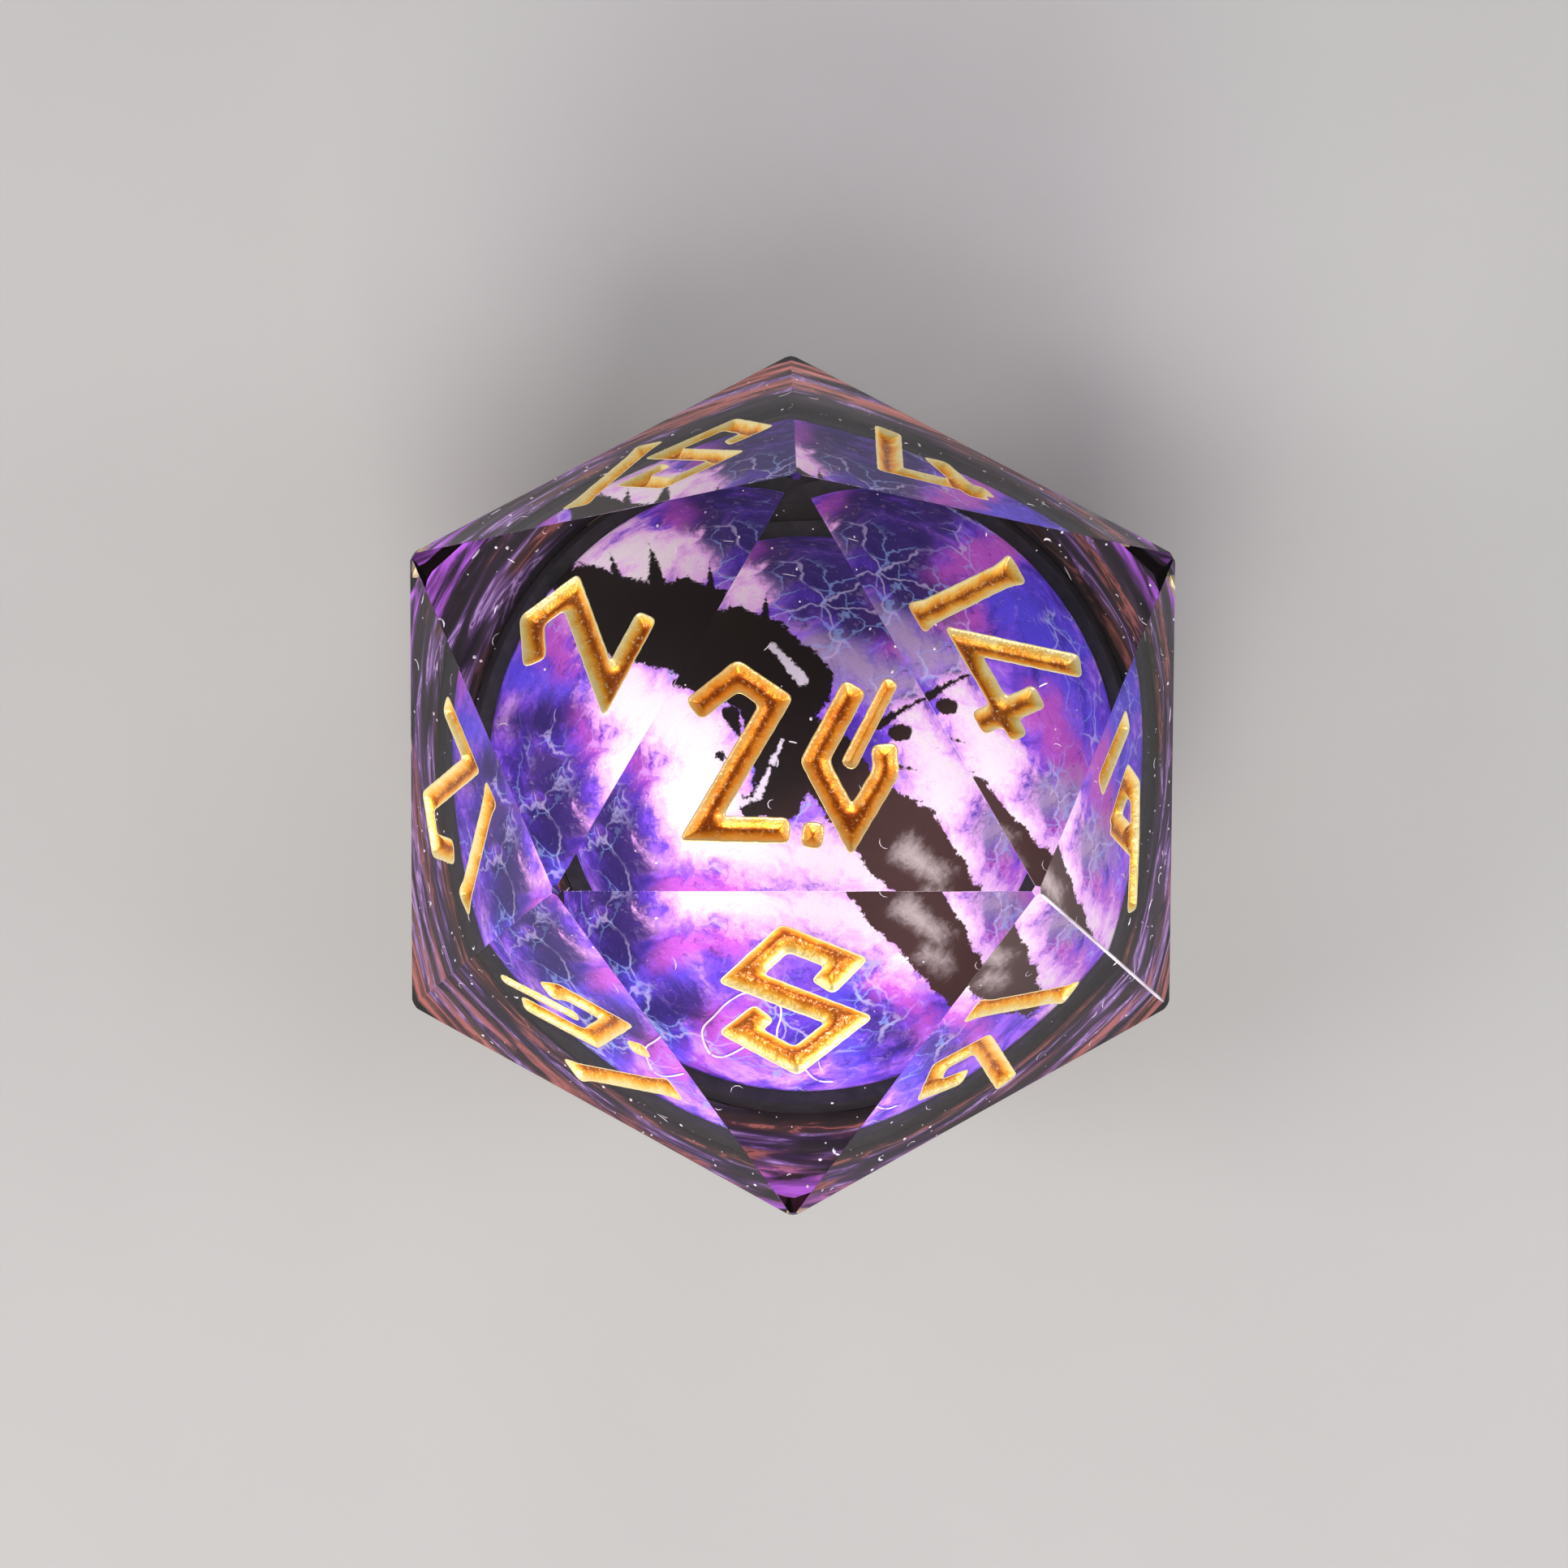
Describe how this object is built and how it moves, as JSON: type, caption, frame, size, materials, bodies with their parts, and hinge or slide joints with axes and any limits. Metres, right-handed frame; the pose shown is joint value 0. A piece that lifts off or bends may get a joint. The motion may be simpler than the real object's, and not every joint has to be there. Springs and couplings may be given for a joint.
{
  "type": "polyhedral die",
  "caption": "Icosahedral gaming die of clear and smoky cast resin, with a picture-wrapped half-ball sealed inside and gold-painted engraved numerals.",
  "frame": {"origin": "centre of the face marked 1, on which the die rests", "axes": "+Z up through the face marked 20; +Y towards the corner that the top of the numeral 20 points to; the object is seen from +Z with +Y up"},
  "size_m": [0.0214, 0.0246, 0.02],
  "materials": {
    "clear_resin": "clear epoxy resin with a faint violet cast, polished to sharp edges",
    "smoky_resin": "smoky violet-brown translucent epoxy resin, polished",
    "printed_picture": "printed film wrapped over a half-ball: violet storm clouds with lightning and a dark ragged cloud bank",
    "dark_backing": "matt charcoal plastic",
    "gold_paint": "metallic gold acrylic paint, fine grained"
  },
  "bodies": {
    "root": {"lower_casting": "smoky_resin", "upper_casting": "clear_resin", "backing_disc": "dark_backing", "dome_core": "dark_backing", "picture_skin": "printed_picture", "numeral_paint_01": "gold_paint", "numeral_paint_02": "gold_paint", "numeral_paint_03": "gold_paint", "numeral_paint_04": "gold_paint", "numeral_paint_05": "gold_paint", "numeral_paint_06": "gold_paint", "numeral_paint_07": "gold_paint", "numeral_paint_08": "gold_paint", "numeral_paint_09": "gold_paint", "numeral_paint_10": "gold_paint", "numeral_paint_11": "gold_paint", "numeral_paint_12": "gold_paint", "numeral_paint_13": "gold_paint", "numeral_paint_14": "gold_paint", "numeral_paint_15": "gold_paint", "numeral_paint_16": "gold_paint", "numeral_paint_17": "gold_paint", "numeral_paint_18": "gold_paint", "numeral_paint_19": "gold_paint", "numeral_paint_20": "gold_paint"}
  },
  "joints": []
}
